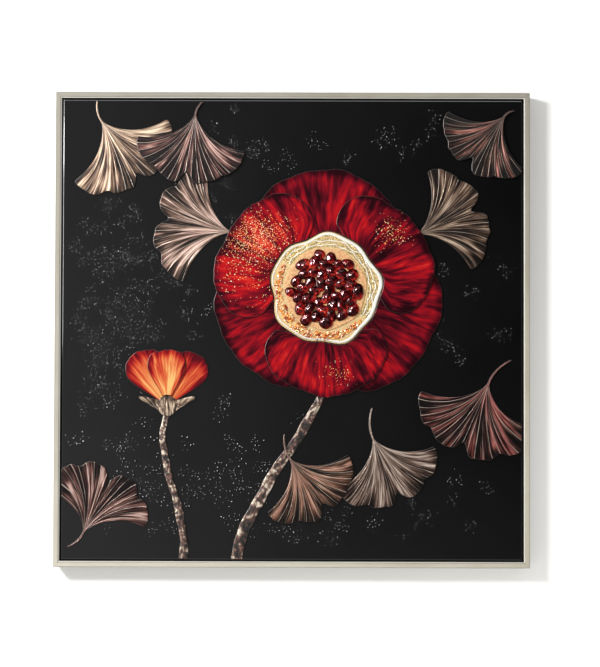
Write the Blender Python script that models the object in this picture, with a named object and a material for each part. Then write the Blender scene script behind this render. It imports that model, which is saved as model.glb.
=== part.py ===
"""Framed relief wall panel, one metre square, in metres.

X runs to the right, Z up, and the picture faces -Y. The origin is the middle of the rear
plane, on the flush rear face of the centre brace. Depths are given as y values, so a
larger depth is a more negative y.
"""
import math
import random

import bmesh
import bpy
from mathutils import Vector

MM = 0.001

# Driving dimensions of the frame
OUTER = 1000 * MM
DEPTH = 45 * MM
FACE = 12 * MM
LEDGE_WIDTH = 24 * MM
LEDGE_THICKNESS = 9 * MM
INNER_BEVEL = 2.5 * MM
OUTER_BEVEL = 0.8 * MM
HALF = OUTER / 2

# Driving dimensions of the panel and what carries it
REVEAL = 2.5 * MM
RECESS = 8 * MM
PANEL_THICKNESS = 8 * MM
PANEL_EDGE = 3 * MM
BATTEN_WIDTH = 30 * MM
BRACE_WIDTH = 40 * MM

# Gap between touching pieces
GAP = 0.3 * MM

# Depths that follow from the driving dimensions
PANEL_FRONT = -DEPTH + RECESS
PANEL_BACK = PANEL_FRONT + PANEL_THICKNESS
PANEL_HALF = HALF - FACE - REVEAL
PLATE_THICKNESS = 4 * MM
PLATE_CHAMFER = 0.8 * MM
LOWER_PLATES = PANEL_FRONT - GAP
UPPER_PLATES = LOWER_PLATES - PLATE_THICKNESS - GAP

# Hanging hardware
WALL = 4 * MM
LEDGE_SCREW_REACH = 240 * MM
LEDGE_SCREW_INSET = 27 * MM
HANGER_REACH = 330 * MM
HANGER_HEIGHT = HALF - 18 * MM
HANGER_LENGTH = 60 * MM
HANGER_THICKNESS = 1.2 * MM
HANGER_BRIDGE = 1.7 * MM
HANGER_SCREW_OFFSET = 25 * MM
BUMPER_REACH = HALF - 30 * MM
BUMPER_RADIUS = 6 * MM

# Relief composition, from the middle of the panel
BLOOM = Vector((70 * MM, 85 * MM))
DISC_RADIUS = 116 * MM
BED_RADIUS = 86 * MM
BUD = Vector((-262 * MM, -165 * MM))
CALYX_RADIUS = 24 * MM
LEAF_STALK_WIDTH = 5 * MM


def material(name, colour, roughness, metallic=0.0):
    """A Principled material with one colour."""
    made = bpy.data.materials.new(name)
    made.use_nodes = True
    shader = made.node_tree.nodes["Principled BSDF"]
    shader.inputs["Base Color"].default_value = (*colour, 1.0)
    shader.inputs["Roughness"].default_value = roughness
    shader.inputs["Metallic"].default_value = metallic
    made.diffuse_color = (*colour, 1.0)
    return made


def loft(loops):
    """A closed bmesh through loops of equal length, capped at both ends."""
    bm = bmesh.new()
    rings = [[bm.verts.new(point) for point in loop] for loop in loops]
    count = len(rings[0])
    for near, far in zip(rings, rings[1:]):
        for k in range(count):
            following = (k + 1) % count
            bm.faces.new((near[k], near[following], far[following], far[k]))
    bm.faces.new(rings[0])
    bm.faces.new(rings[-1])
    bmesh.ops.recalc_face_normals(bm, faces=bm.faces)
    return bm


def place(name, bm, surface, smooth=False):
    """Make a named object from a bmesh, with its own material."""
    mesh = bpy.data.meshes.new(name)
    bm.to_mesh(mesh)
    bm.free()
    mesh.materials.append(surface)
    if smooth:
        mesh.shade_smooth()
    made = bpy.data.objects.new(name, mesh)
    bpy.context.collection.objects.link(made)
    return made


def around(centre, angle, radius):
    """The (x, z) place at an angle in radians and a radius about a centre."""
    return (centre[0] + radius * math.cos(angle), centre[1] + radius * math.sin(angle))


def box(low, high):
    """An upright box between two corners."""
    corners = [(low[0], low[2]), (high[0], low[2]), (high[0], high[2]), (low[0], high[2])]
    return loft([[(x, y, z) for x, z in corners] for y in (low[1], high[1])])


def turned(centre, stations, sides=16):
    """A solid of revolution along Y, from (y, radius) stations at an (x, z) centre."""
    loops = []
    for y, radius in stations:
        spots = [around(centre, math.tau * k / sides, radius) for k in range(sides)]
        loops.append([(x, y, z) for x, z in spots])
    return loft(loops)


def combine(target, bm, operation):
    """Add a Boolean modifier whose hidden tool is the given bmesh."""
    tool = place(target.name + "_" + operation.lower(), bm, target.data.materials[0])
    tool.hide_render = True
    tool.display_type = "WIRE"
    modifier = target.modifiers.new(operation.title(), "BOOLEAN")
    modifier.operation = operation
    modifier.object = tool
    modifier.solver = "EXACT"
    modifier.use_self = operation == "UNION"


def merged(pieces):
    """Join several closed bmeshes into one, without fusing them."""
    whole = bmesh.new()
    for piece in pieces:
        carrier = bpy.data.meshes.new("carrier")
        piece.to_mesh(carrier)
        piece.free()
        whole.from_mesh(carrier)
        bpy.data.meshes.remove(carrier)
    return whole


def on_side(side, along, across):
    """The (x, z) place on a side of the frame: 0 bottom, 1 right, 2 top, 3 left.

    across is measured inwards from the frame's outer edge.
    """
    x, z = along, -HALF + across
    for _ in range(side):
        x, z = -z, x
    return x, z


# The four mitred rails: an L profile with a ledge behind the panel

def ledge_screw_places(side):
    """Where the two screws of one side go through the ledge."""
    return [on_side(side, along, LEDGE_SCREW_INSET) for along in (-LEDGE_SCREW_REACH, LEDGE_SCREW_REACH)]


def hanger_screw_places():
    """Where the four hanger screws enter the top rail."""
    places = []
    for hanger in (-HANGER_REACH, HANGER_REACH):
        for offset in (-HANGER_SCREW_OFFSET, HANGER_SCREW_OFFSET):
            places.append((hanger + offset, HANGER_HEIGHT))
    return places


def build_rails(surface):
    """Model the rails, with the clearance holes for their screws."""
    inner = FACE + LEDGE_WIDTH
    mitre_gap = GAP / math.sqrt(2)
    profile = [
        (0.0, 0.0),
        (0.0, -DEPTH + OUTER_BEVEL),
        (OUTER_BEVEL, -DEPTH),
        (FACE - INNER_BEVEL, -DEPTH),
        (FACE, -DEPTH + INNER_BEVEL),
        (FACE, -LEDGE_THICKNESS),
        (inner, -LEDGE_THICKNESS),
        (inner, 0.0),
    ]
    for side, name in enumerate(("bottom", "right", "top", "left")):
        ends = []
        for end in (-1, 1):
            loop = []
            for across, y in profile:
                x, z = on_side(side, end * (HALF - across - mitre_gap), across)
                loop.append((x, y, z))
            ends.append(loop)
        rail = place("frame_rail_" + name, loft(ends), surface)
        holes = []
        for spot in ledge_screw_places(side):
            head = [(0.5 * MM, 4.6 * MM), (-0.2 * MM, 4.4 * MM), (-2.5 * MM, 2.3 * MM)]
            holes.append(turned(spot, head + [(-LEDGE_THICKNESS - MM, 2.3 * MM)]))
        if name == "top":
            for spot in hanger_screw_places():
                holes.append(turned(spot, [(0.5 * MM, 1.8 * MM), (-7.6 * MM, 1.8 * MM)], sides=12))
        combine(rail, merged(holes), "DIFFERENCE")


# The lacquered panel and the wood behind it

def build_panel(surface):
    """The front panel, with a rounded front edge."""
    stations = [(PANEL_BACK, PANEL_HALF)]
    for step in range(5):
        angle = step * math.pi / 8
        y = PANEL_FRONT + PANEL_EDGE * (1 - math.sin(angle))
        stations.append((y, PANEL_HALF - PANEL_EDGE * (1 - math.cos(angle))))
    squares = []
    for y, half in stations:
        corners = ((-half, -half), (half, -half), (half, half), (-half, half))
        squares.append([(x, y, z) for x, z in corners])
    place("front_panel", loft(squares), surface)


def build_battens(surface):
    """Four battens glued behind the panel's rim, and a brace down the middle."""
    front = PANEL_BACK + GAP
    back = -LEDGE_THICKNESS - GAP
    inner = PANEL_HALF - BATTEN_WIDTH
    spans = {
        "bottom": ((-PANEL_HALF, -PANEL_HALF), (PANEL_HALF, -inner)),
        "right": ((inner, -inner + GAP), (PANEL_HALF, inner - GAP)),
        "top": ((-PANEL_HALF, inner), (PANEL_HALF, PANEL_HALF)),
        "left": ((-PANEL_HALF, -inner + GAP), (-inner, inner - GAP)),
    }
    for side, (name, (low, high)) in enumerate(spans.items()):
        batten = place("batten_" + name, box((low[0], front, low[1]), (high[0], back, high[1])), surface)
        pilots = [
            turned(spot, [(back + MM, 2.3 * MM), (back - 13.5 * MM, 2.3 * MM)], sides=12)
            for spot in ledge_screw_places(side)
        ]
        combine(batten, merged(pilots), "DIFFERENCE")
    reach = inner - GAP
    brace = box((-BRACE_WIDTH / 2, front, -reach), (BRACE_WIDTH / 2, 0.0, reach))
    place("centre_brace", brace, surface)


# Screws, hangers and bumpers on the back

def build_ledge_screws(surface):
    """Countersunk screws that hold the battens to the frame's ledge."""
    for side, name in enumerate(("bottom", "right", "top", "left")):
        for number, spot in enumerate(ledge_screw_places(side), start=1):
            shape = [(-GAP, 4.0 * MM), (-2.5 * MM, 1.9 * MM), (-20 * MM, 1.9 * MM), (-22 * MM, 0.6 * MM)]
            place("ledge_screw_%s_%d" % (name, number), turned(spot, shape), surface, smooth=True)


def build_hangers(surface):
    """Two sawtooth hangers: a strip whose middle stands off and has teeth below."""
    half = HANGER_LENGTH / 2
    tooth = 3 * MM
    teeth = 7
    run = teeth * tooth / 2
    low = -5 * MM
    stations = [(-half, 0.0, low), (-run - 5 * MM, 0.0, low), (-run - 2 * MM, HANGER_BRIDGE, low)]
    for k in range(2 * teeth + 1):
        edge = low if k % 2 == 0 else low + 2 * MM
        stations.append((-run + k * tooth / 2, HANGER_BRIDGE, edge))
    stations += [(-x, y, z) for x, y, z in reversed(stations[:3])]
    for name, middle in (("left", -HANGER_REACH), ("right", HANGER_REACH)):
        loops = []
        for x, lift, edge in stations:
            near = GAP + lift
            far = near + HANGER_THICKNESS
            top = HANGER_HEIGHT - low
            bottom = HANGER_HEIGHT + edge
            section = ((near, top), (far, top), (far, bottom), (near, bottom))
            loops.append([(middle + x, y, z) for y, z in section])
        hanger = place("hanger_" + name, loft(loops), surface)
        holes = []
        for offset in (-HANGER_SCREW_OFFSET, HANGER_SCREW_OFFSET):
            spot = (middle + offset, HANGER_HEIGHT)
            holes.append(turned(spot, [(-MM, 1.8 * MM), (3 * MM, 1.8 * MM)], sides=12))
        combine(hanger, merged(holes), "DIFFERENCE")


def build_hanger_screws(surface):
    """Pan-head screws through the ends of the hangers."""
    under = GAP + HANGER_THICKNESS + GAP
    shape = [(-7.2 * MM, 0.5 * MM), (-6.0 * MM, 1.5 * MM), (under, 1.5 * MM), (under, 3.0 * MM)]
    shape += [(under + 1.1 * MM, 2.7 * MM), (under + 1.6 * MM, 1.8 * MM)]
    for number, spot in enumerate(hanger_screw_places(), start=1):
        place("hanger_screw_%d" % number, turned(spot, shape, sides=12), surface, smooth=True)


def build_bumpers(surface):
    """Soft pads at the lower corners, which keep the frame level off the wall."""
    height = -HALF + 18 * MM
    for name, x in (("left", -BUMPER_REACH), ("right", BUMPER_REACH)):
        shape = [(GAP, BUMPER_RADIUS), (WALL - 0.6 * MM, BUMPER_RADIUS), (WALL, BUMPER_RADIUS - 0.6 * MM)]
        place("bumper_" + name, turned((x, height), shape, sides=24), surface, smooth=True)


# Outlines of the relief plates, as (x, z) points

def disc_edge(angle):
    """Radius of the wavy cream disc at an angle about the bloom."""
    return DISC_RADIUS + 4 * MM * math.sin(5 * angle + 1) + 2.5 * MM * math.sin(9 * angle)


def petal_outline(centre, direction, spread, reach, foot, ruffle, phase, steps=32):
    """A petal: sides that open from its foot, a superellipse tip with ruffles, and a foot arc.

    direction and spread are degrees, and foot gives the inner radius at an angle.
    """
    heading = math.radians(direction)
    half = math.radians(spread)
    shoulder = 0.62 * reach
    side = []
    for k in range(steps // 4):
        t = 4 * k / steps
        turn = half * (0.80 + 0.20 * math.sin(t * math.pi / 2))
        side.append((turn, t))
    outline = []
    for turn, t in side:
        start = foot(heading + turn)
        outline.append(around(centre, heading + turn, start + t * (shoulder - start)))
    for k in range(steps + 1):
        v = 1 - 2 * k / steps
        radius = reach * (0.62 + 0.38 * math.sqrt(max(0.0, 1 - abs(v) ** 2.6)))
        wave = math.sin(5 * v + phase) + 0.5 * math.sin(11 * v + 2 * phase)
        wave += 0.4 * math.sin(21 * v + 3 * phase)
        radius += ruffle * (1 - v ** 4) * wave
        outline.append(around(centre, heading + v * half, radius))
    for turn, t in reversed(side):
        start = foot(heading - turn)
        outline.append(around(centre, heading - turn, start + t * (shoulder - start)))
    for k in range(1, steps // 3):
        angle = heading + half * 0.80 * (2 * k / (steps // 3) - 1)
        outline.append(around(centre, angle, foot(angle)))
    return outline


def leaf_outline(base, direction, reach, spread, stalk, phase):
    """A fan leaf on its stalk, with a cleft in the middle and a lightly waved rim."""
    heading = math.radians(direction)
    half = math.radians(spread)
    backward = Vector((-math.cos(heading), -math.sin(heading)))
    across = Vector((-math.sin(heading), math.cos(heading)))
    spine = []
    for k in range(6):
        t = 1 - k / 6
        spine.append(Vector(base) + backward * (stalk * t) + across * (0.42 * stalk * t * t))
    left = [tuple(point + across * (LEAF_STALK_WIDTH / 2)) for point in spine]
    right = [tuple(point - across * (LEAF_STALK_WIDTH / 2)) for point in spine]
    sides = []
    for k in range(1, 8):
        t = k / 8
        turn = half * (0.30 + 0.70 * t ** 0.8) * (1 - math.exp(-14 * t))
        sides.append((turn, 4 * MM + t * (0.86 * reach - 4 * MM)))
    rim = []
    for k in range(29):
        v = 1 - k / 14
        radius = 0.86 + 0.14 * math.sqrt(max(0.0, 1 - abs(v) ** 3))
        radius *= 1 - 0.17 * math.exp(-(v / 0.085) ** 2) - 0.05 * math.exp(-((abs(v) - 0.5) / 0.08) ** 2)
        radius += (1 - v ** 4) * (0.012 * math.sin(9 * v + phase) + 0.010 * math.sin(19 * v + 2 * phase))
        rim.append(around(base, heading + v * half, radius * reach))
    outline = left + [around(base, heading + turn, radius) for turn, radius in sides] + rim
    outline += [around(base, heading - turn, radius) for turn, radius in reversed(sides)]
    return outline + right[::-1]


def stem_outline(course, width_above, width_below, phase):
    """A bark-like strip along a cubic curve through four control points."""
    start, pull, push, end = (Vector(point) for point in course)
    count = 16
    left = []
    right = []
    for k in range(count + 1):
        t = k / count
        s = 1 - t
        middle = start * s ** 3 + pull * (3 * s * s * t) + push * (3 * s * t * t) + end * t ** 3
        along = (pull - start) * (s * s) + (push - pull) * (2 * s * t) + (end - push) * (t * t)
        across = Vector((-along.y, along.x)).normalized()
        half = (width_above + (width_below - width_above) * t) / 2
        left.append(tuple(middle + across * half * (1 + 0.13 * math.sin(19 * t + phase))))
        right.append(tuple(middle - across * half * (1 + 0.13 * math.sin(23 * t + 2 * phase))))
    return left + right[::-1]


def calyx_outline(centre):
    """A small cup with two pointed sepals that reach out beside the middle petal."""
    outline = []
    for k in range(44):
        angle = math.tau * k / 44
        degrees = math.degrees(angle)
        sepals = math.exp(-((degrees - 20) / 10) ** 2) + math.exp(-((degrees - 160) / 10) ** 2)
        cup = 1.0 if degrees < 180 else 0.8
        outline.append(around(centre, angle, CALYX_RADIUS * (cup + 1.7 * sepals)))
    return outline


def clipped(outline):
    """Cut an outline off at the panel's edges, a little inside the rounded rim."""
    limit = PANEL_HALF - 1.5 * MM
    for axis, sign in ((0, 1), (0, -1), (1, 1), (1, -1)):
        kept = []
        for k, point in enumerate(outline):
            before = outline[k - 1]
            inside = sign * point[axis] <= limit
            if inside != (sign * before[axis] <= limit):
                t = (sign * limit - before[axis]) / (point[axis] - before[axis])
                kept.append(tuple(b + t * (p - b) for b, p in zip(before, point)))
            if inside:
                kept.append(point)
        outline = kept
    return outline


def inset(outline, distance):
    """Move an anticlockwise or clockwise outline inwards by a small distance."""
    area = sum(a[0] * b[1] - b[0] * a[1] for a, b in zip(outline, outline[1:] + outline[:1]))
    turn = 1 if area > 0 else -1
    moved = []
    for k, point in enumerate(outline):
        before = outline[k - 1]
        after = outline[(k + 1) % len(outline)]
        chord = Vector((after[0] - before[0], after[1] - before[1])).normalized()
        moved.append((point[0] - turn * chord.y * distance, point[1] + turn * chord.x * distance))
    return moved


def plate(name, outline, back, surface, thickness=PLATE_THICKNESS):
    """A flat cut-out with a small chamfer round its front."""
    front = back - thickness
    loops = [
        [(x, back, z) for x, z in outline],
        [(x, front + PLATE_CHAMFER, z) for x, z in outline],
        [(x, front, z) for x, z in inset(outline, PLATE_CHAMFER)],
    ]
    bm = loft(loops)
    bmesh.ops.triangulate(bm, faces=[face for face in bm.faces if len(face.verts) > 4])
    return place(name, bm, surface)


# The relief: bloom, bud, stems and leaves

def build_bloom(deep_red, bright_red, cream):
    """Three petals below, three above, and the wavy disc that they meet."""
    def foot(angle):
        return disc_edge(angle) + 2 * MM

    lower = ((92, 57, 250), (212, 56, 238), (331, 56, 250))
    upper = ((31, 50, 234), (151, 51, 240), (271, 51, 224))
    for number, (direction, spread, reach) in enumerate(lower, start=1):
        shape = petal_outline(BLOOM, direction, spread, reach * MM, foot, 3.2 * MM, 1.7 * number)
        plate("lower_petal_%d" % number, shape, LOWER_PLATES, deep_red)
    for number, (direction, spread, reach) in enumerate(upper, start=1):
        shape = petal_outline(BLOOM, direction, spread, reach * MM, foot, 3.2 * MM, 0.9 + 2.1 * number)
        plate("upper_petal_%d" % number, shape, UPPER_PLATES, bright_red)
    disc = [around(BLOOM, math.tau * k / 72, disc_edge(math.tau * k / 72)) for k in range(72)]
    plate("centre_disc", disc, LOWER_PLATES, cream)


def chip(centre, back, size, turn, rng):
    """One rounded glass chip with few sides, a little longer than wide."""
    sides = 6
    height = size * rng.uniform(0.27, 0.35)
    loops = []
    for lift, spread in ((-0.6 * MM, 1.04), (0.50 * height, 0.98), (height, 0.50)):
        loop = []
        for k in range(sides):
            angle = math.tau * k / sides
            x = 0.56 * size * spread * math.cos(angle)
            z = 0.45 * size * spread * math.sin(angle)
            loop.append((
                centre[0] + x * math.cos(turn) - z * math.sin(turn),
                back - lift,
                centre[1] + x * math.sin(turn) + z * math.cos(turn),
            ))
        loops.append(loop)
    return loft(loops)


def build_chips(garnet):
    """Garnet glass chips in a spiral, fused to the thin bed that they are set in."""
    rng = random.Random(11)
    back = LOWER_PLATES - PLATE_THICKNESS - GAP
    front = back - 2 * MM
    edge = [BED_RADIUS * (1 + 0.02 * math.sin(7 * math.tau * k / 48)) for k in range(48)]
    rim = [around(BLOOM, math.tau * k / 48, radius) for k, radius in enumerate(edge)]
    bed = plate("garnet_chips", rim, back, garnet, thickness=2 * MM)
    pieces = []
    count = 42
    for k in range(count):
        radius = (BED_RADIUS - 11 * MM) * math.sqrt((k + 0.5) / count)
        angle = k * math.pi * (3 - math.sqrt(5))
        spot = around(BLOOM, angle, radius)
        pieces.append(chip(spot, front, rng.uniform(24, 31) * MM, rng.uniform(0, math.pi), rng))
    combine(bed, merged(pieces), "UNION")


def build_splinters(amber):
    """A crescent of crushed orange glass on the disc, beside the chips."""
    rng = random.Random(5)
    back = LOWER_PLATES - PLATE_THICKNESS - GAP
    thickness = 1.4 * MM
    first, last = math.radians(150), math.radians(318)
    middle = BED_RADIUS + 13 * MM
    outer = []
    inner = []
    for k in range(25):
        t = k / 24
        angle = first + (last - first) * t
        half = 9 * MM * math.sqrt(math.sin(math.pi * (0.04 + 0.92 * t)))
        outer.append(around(BLOOM, angle, middle + half))
        inner.append(around(BLOOM, angle, middle - 0.8 * half))
    bed = plate("amber_splinters", outer + inner[::-1], back, amber, thickness=thickness)
    pieces = []
    count = 44
    for k in range(count):
        angle = first + (last - first) * (k + 0.5) / count
        spot = around(BLOOM, angle, middle + rng.uniform(-3.5, 4.5) * MM)
        lean = rng.uniform(0, math.tau)
        size = rng.uniform(3.4, 5.4) * MM
        corners = ((0, 1), (1.4, 0.5), (3.1, 0.9), (4.6, 0.5))
        foot = [around(spot, lean + turn, size * pull) for turn, pull in corners]
        tip = [around(spot, lean + turn, size * 0.25) for turn, _ in corners]
        base = [(x, back - thickness + 0.5 * MM, z) for x, z in foot]
        top = [(x, back - thickness - rng.uniform(1.6, 3.4) * MM, z) for x, z in tip]
        pieces.append(loft([base, top]))
    combine(bed, merged(pieces), "UNION")


def build_bud(coral, orange, bronze):
    """A half-open bud seen from the side, in its calyx."""
    near_foot = 9 * MM
    shape = petal_outline(BUD, 119, 27, 132 * MM, lambda angle: near_foot, 1.4 * MM, 0.6, steps=20)
    plate("bud_petal_left", shape, LOWER_PLATES, coral)
    shape = petal_outline(BUD, 61, 27, 128 * MM, lambda angle: near_foot, 1.4 * MM, 2.2, steps=20)
    plate("bud_petal_right", shape, LOWER_PLATES, coral)
    clear = CALYX_RADIUS + 1.5 * MM
    shape = petal_outline(BUD, 91, 27, 122 * MM, lambda angle: clear, 1.4 * MM, 4.1, steps=20)
    plate("bud_petal_middle", shape, UPPER_PLATES, orange)
    plate("bud_calyx", calyx_outline(BUD), UPPER_PLATES, bronze)


def build_stems(bark):
    """Two stems that run down to the panel's lower edge."""
    below = -PANEL_HALF - 5 * MM
    bloom_course = [
        (BLOOM.x + 2 * MM, BLOOM.y - 180 * MM),
        (BLOOM.x - 4 * MM, BLOOM.y - 280 * MM),
        (-90 * MM, -330 * MM),
        (-118 * MM, below),
    ]
    bud_course = [
        (BUD.x, BUD.y - 10 * MM),
        (BUD.x - 36 * MM, BUD.y - 110 * MM),
        (-212 * MM, -375 * MM),
        (-228 * MM, below),
    ]
    plate("bloom_stem", clipped(stem_outline(bloom_course, 17 * MM, 26 * MM, 0.5)), LOWER_PLATES, bark)
    plate("bud_stem", clipped(stem_outline(bud_course, 13 * MM, 19 * MM, 2.0)), LOWER_PLATES, bark)


def build_leaves(tones):
    """Fan leaves round the bloom, some over others and some cut off by the panel's edge."""
    leaves = (
        (-405, 440, -56, 160, 57, 40, LOWER_PLATES),
        (-205, 455, -98, 150, 60, 26, UPPER_PLATES),
        (-128, 204, 168, 165, 58, 26, LOWER_PLATES),
        (262, 200, 24, 155, 56, 26, LOWER_PLATES),
        (415, -110, -112, 165, 60, 60, LOWER_PLATES),
        (170, -228, -66, 150, 58, 58, LOWER_PLATES),
        (-4, -272, -54, 140, 58, 48, UPPER_PLATES),
        (-438, -430, 64, 150, 58, 40, LOWER_PLATES),
        (448, 452, -128, 138, 56, 20, UPPER_PLATES),
    )
    for number, (x, z, direction, reach, spread, stalk, level) in enumerate(leaves, start=1):
        base = (x * MM, z * MM)
        shape = leaf_outline(base, direction, reach * MM, spread, stalk * MM, 1.3 * number)
        plate("leaf_%d" % number, clipped(shape), level, tones[number % len(tones)])


def build():
    """Clear the scene and model every piece."""
    for old in list(bpy.data.objects):
        bpy.data.objects.remove(old, do_unlink=True)

    champagne = material("champagne_leaf", (0.66, 0.61, 0.50), 0.38, 0.85)
    lacquer = material("black_lacquer", (0.012, 0.012, 0.013), 0.12)
    pine = material("pine", (0.62, 0.44, 0.25), 0.65)
    steel = material("zinc_steel", (0.62, 0.62, 0.60), 0.35, 1.0)
    felt = material("felt", (0.10, 0.10, 0.10), 0.95)
    deep_red = material("deep_red_lacquer", (0.14, 0.006, 0.012), 0.25)
    bright_red = material("red_lacquer", (0.32, 0.012, 0.018), 0.25)
    cream = material("cream_paste", (0.72, 0.55, 0.34), 0.5)
    garnet = material("garnet_glass", (0.12, 0.004, 0.010), 0.08)
    amber = material("amber_glass", (0.75, 0.28, 0.06), 0.15)
    coral = material("coral_lacquer", (0.46, 0.07, 0.03), 0.25)
    orange = material("orange_lacquer", (0.72, 0.20, 0.06), 0.25)
    bark = material("bark_foil", (0.22, 0.16, 0.11), 0.4, 0.4)
    bronze = material("bronze_foil", (0.24, 0.18, 0.12), 0.35, 0.7)
    taupe = material("taupe_foil", (0.30, 0.25, 0.20), 0.35, 0.7)
    rose = material("rose_foil", (0.22, 0.12, 0.11), 0.35, 0.7)

    build_rails(champagne)
    build_panel(lacquer)
    build_battens(pine)
    build_ledge_screws(steel)
    build_hangers(steel)
    build_hanger_screws(steel)
    build_bumpers(felt)
    build_bloom(deep_red, bright_red, cream)
    build_chips(garnet)
    build_splinters(amber)
    build_bud(coral, orange, bronze)
    build_stems(bark)
    build_leaves((taupe, bronze, rose))


build()
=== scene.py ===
"""Framed relief wall panel, one metre square: frame, black board, metal and glass relief.

Everything is in metres. The picture faces -Y and the wall is behind it, at a small +Y.
"""
import math
import random

import bmesh
import bpy
import numpy as np
from mathutils import Euler, Matrix, Vector


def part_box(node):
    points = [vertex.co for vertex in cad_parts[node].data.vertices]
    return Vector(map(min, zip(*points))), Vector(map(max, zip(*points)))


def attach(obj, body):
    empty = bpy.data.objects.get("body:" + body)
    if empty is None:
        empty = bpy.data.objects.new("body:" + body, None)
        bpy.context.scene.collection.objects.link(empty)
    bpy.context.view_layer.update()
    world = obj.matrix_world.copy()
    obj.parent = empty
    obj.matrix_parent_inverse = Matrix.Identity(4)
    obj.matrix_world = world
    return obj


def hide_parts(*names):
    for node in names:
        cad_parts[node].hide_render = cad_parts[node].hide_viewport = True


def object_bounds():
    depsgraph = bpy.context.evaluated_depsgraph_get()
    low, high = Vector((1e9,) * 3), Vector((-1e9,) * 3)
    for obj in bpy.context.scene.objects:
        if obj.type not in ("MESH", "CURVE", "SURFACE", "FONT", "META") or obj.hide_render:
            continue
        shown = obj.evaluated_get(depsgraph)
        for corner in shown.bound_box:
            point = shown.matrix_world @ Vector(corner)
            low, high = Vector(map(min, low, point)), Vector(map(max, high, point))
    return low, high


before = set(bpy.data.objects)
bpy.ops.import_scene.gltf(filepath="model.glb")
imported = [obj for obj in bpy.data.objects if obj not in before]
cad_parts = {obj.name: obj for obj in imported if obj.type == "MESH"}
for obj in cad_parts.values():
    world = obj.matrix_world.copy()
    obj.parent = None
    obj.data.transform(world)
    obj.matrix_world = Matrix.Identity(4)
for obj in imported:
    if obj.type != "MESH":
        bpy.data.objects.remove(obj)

cad_low, cad_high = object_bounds()
MM = 0.001


# Wall, floor and camera
# A white wall just behind the bumper pads, and a pale floor well below the picture. The wall
# shows only from its front, so that the picture's back can be looked at from behind it.

def add(tree, kind, inputs=(), **settings):
    """Add a shader node with its settings, and fill its inputs with values or sockets."""
    made = tree.nodes.new(kind)
    for name, value in settings.items():
        setattr(made, name, value)
    for key, value in dict(inputs).items():
        if isinstance(value, bpy.types.NodeSocket):
            tree.links.new(value, made.inputs[key])
        else:
            made.inputs[key].default_value = value
    return made


def material(name, **plain):
    """A Principled material; each plain value is set on the shader's own socket."""
    made = bpy.data.materials.new(name)
    made.use_nodes = True
    shader = made.node_tree.nodes["Principled BSDF"]
    for key, value in plain.items():
        shader.inputs[key.replace("_", " ").title().replace("Ior", "IOR")].default_value = value
    return made, made.node_tree, shader


def stage_quad(name, corners, surface):
    """One quad of the stage."""
    mesh = bpy.data.meshes.new(name)
    mesh.from_pydata(corners, [], [(0, 1, 2, 3)])
    mesh.materials.append(surface)
    made = bpy.data.objects.new(name, mesh)
    bpy.context.collection.objects.link(made)
    return made


WALL = cad_high.y + 0.3 * MM
FLOOR = -1.30

plaster, tree, shader = material("white_wall", base_color=(0.845, 0.845, 0.83, 1), roughness=0.9)
behind = add(tree, "ShaderNodeNewGeometry").outputs["Backfacing"]
clear = add(tree, "ShaderNodeBsdfTransparent").outputs["BSDF"]
either = add(tree, "ShaderNodeMixShader", {0: behind, 1: shader.outputs["BSDF"], 2: clear})
tree.links.new(either.outputs["Shader"], tree.nodes["Material Output"].inputs["Surface"])

corners = [(-6, WALL, FLOOR), (6, WALL, FLOOR), (6, WALL, 5), (-6, WALL, 5)]
wall = stage_quad("wall", corners, plaster)
wall.visible_shadow = False
wall.visible_diffuse = False
wall.visible_glossy = False
wall.visible_transmission = False
screed, tree, shader = material("pale_floor", base_color=(0.74, 0.73, 0.71, 1), roughness=0.7)
corners = [(-8, -8, FLOOR), (8, -8, FLOOR), (8, 8, FLOOR), (-8, 8, FLOOR)]
floor = stage_quad("floor", corners, screed)
floor.visible_glossy = False

CAMERA_PLACE = (0.0224, -3.3565, -0.0857)
CAMERA_TILT = 1.326
CAMERA_PAN = 0.101
CAMERA_ROLL = 0.170

lens = bpy.data.cameras.new("camera")
lens.lens = 85
lens.sensor_width = 36
camera = bpy.data.objects.new("camera", lens)
bpy.context.collection.objects.link(camera)
aim = Euler((math.radians(90 + CAMERA_TILT), 0, math.radians(CAMERA_PAN))).to_matrix()
aim = aim @ Matrix.Rotation(math.radians(CAMERA_ROLL), 3, "Z")
camera.matrix_world = Matrix.Translation(CAMERA_PLACE) @ aim.to_4x4()
bpy.context.scene.camera = camera
bpy.context.scene.view_settings.view_transform = "Standard"


# Studio light
# One softbox high on the left casts the shadow, and a small lamp at the lower right lifts it.
# Gloss sees more softboxes, and a room that is bright on the left and below.

def softbox(name, place, size, power, target=(0, 0, 0)):
    """A rectangular area light aimed at a point."""
    light = bpy.data.lights.new(name, "AREA")
    light.shape = "RECTANGLE"
    light.size, light.size_y = size
    light.energy = power
    made = bpy.data.objects.new(name, light)
    made.location = place
    made.rotation_euler = (Vector(target) - Vector(place)).to_track_quat("-Z", "Y").to_euler()
    bpy.context.collection.objects.link(made)
    return made


def gathered(name, pieces):
    """A collection of pieces, for a light to shine on them alone."""
    made = bpy.data.collections.new(name)
    for piece in pieces:
        made.objects.link(piece)
    return made


def gloss_light(pieces, name, place, size, power):
    """A softbox that only the gloss of the pieces in one collection sees."""
    made = softbox(name, place, size, power)
    made.visible_diffuse = False
    made.visible_transmission = False
    made.light_linking.receiver_collection = pieces
    return made


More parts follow.
